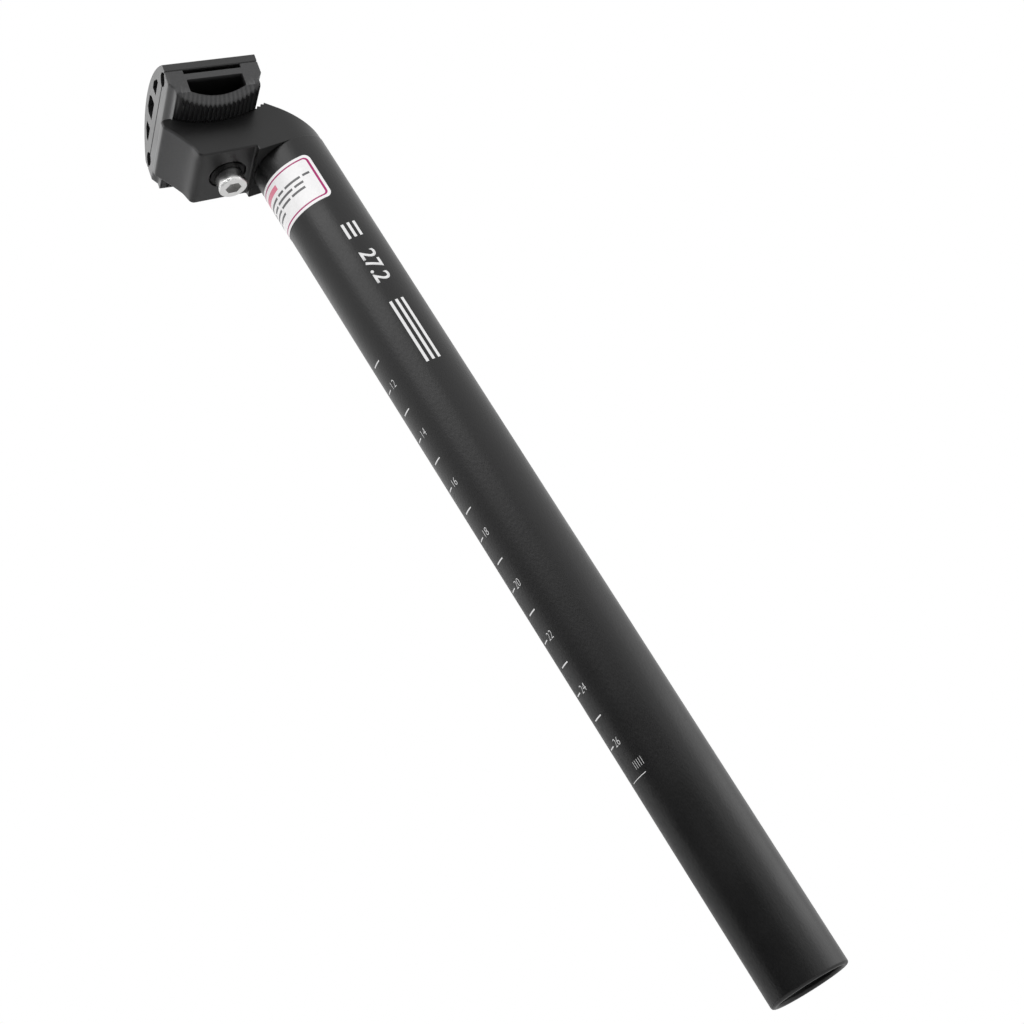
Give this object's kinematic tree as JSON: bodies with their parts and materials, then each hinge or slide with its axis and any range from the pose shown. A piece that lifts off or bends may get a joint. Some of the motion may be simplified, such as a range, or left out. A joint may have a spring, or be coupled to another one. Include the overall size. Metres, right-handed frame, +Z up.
{
  "type": "bicycle seatpost",
  "caption": "Round seatpost with a set-back forged head, whose serrated cradle and arched upper clamp hold the saddle's rails with a bolt from below.",
  "frame": {"origin": "centre of the tube's open lower end, on the tube's axis", "axes": "+Z up along the tube, +X forward, away from the set-back clamp, +Y to the left of the bicycle"},
  "size_m": [0.0535, 0.052, 0.3694],
  "materials": {
    "tube_anodised": "black anodised, satin",
    "head_anodised": "black anodised, fine blasted",
    "clamp_anodised": "black anodised, fine blasted",
    "bolt_steel": "bright polished",
    "dark_steel": "black oxide",
    "scale_ink": "printed white ink",
    "label_film": "printed white film"
  },
  "bodies": {
    "post": {"post_tube": "tube_anodised", "post_head": "head_anodised", "bolt_washer": "dark_steel"},
    "cradle": {"saddle_cradle": "clamp_anodised"},
    "upper": {"upper_clamp": "clamp_anodised"},
    "bolt": {"clamp_bolt": "bolt_steel"},
    "nut": {"barrel_nut": "dark_steel"}
  },
  "joints": [
    {"name": "saddle_tilt", "type": "hinge", "parent": "post", "child": "cradle", "pos_m": [-0.01436, 0, 0.37846], "axis": [0, -1, 0], "range_deg": [-7.5, 7.5]},
    {"name": "bolt_turn", "type": "hinge", "parent": "post", "child": "bolt", "pos_m": [-0.0224, 0, 0.3295], "axis": [-0.1374, 0, -0.9905], "range_deg": [0, 1440]},
    {"name": "nut_lift", "type": "slide", "parent": "post", "child": "nut", "axis": [0.1374, 0, 0.9905], "range_m": [0, 0.004]},
    {"name": "clamp_lift", "type": "slide", "parent": "cradle", "child": "upper", "axis": [0.1994, 0, 0.9799], "range_m": [0, 0.0038]}
  ],
  "couplings": [
    {"joint": "bolt_turn", "follows": "clamp_lift", "rad_per_m": 6613.8},
    {"joint": "nut_lift", "follows": "clamp_lift", "ratio": 1.0526}
  ]
}
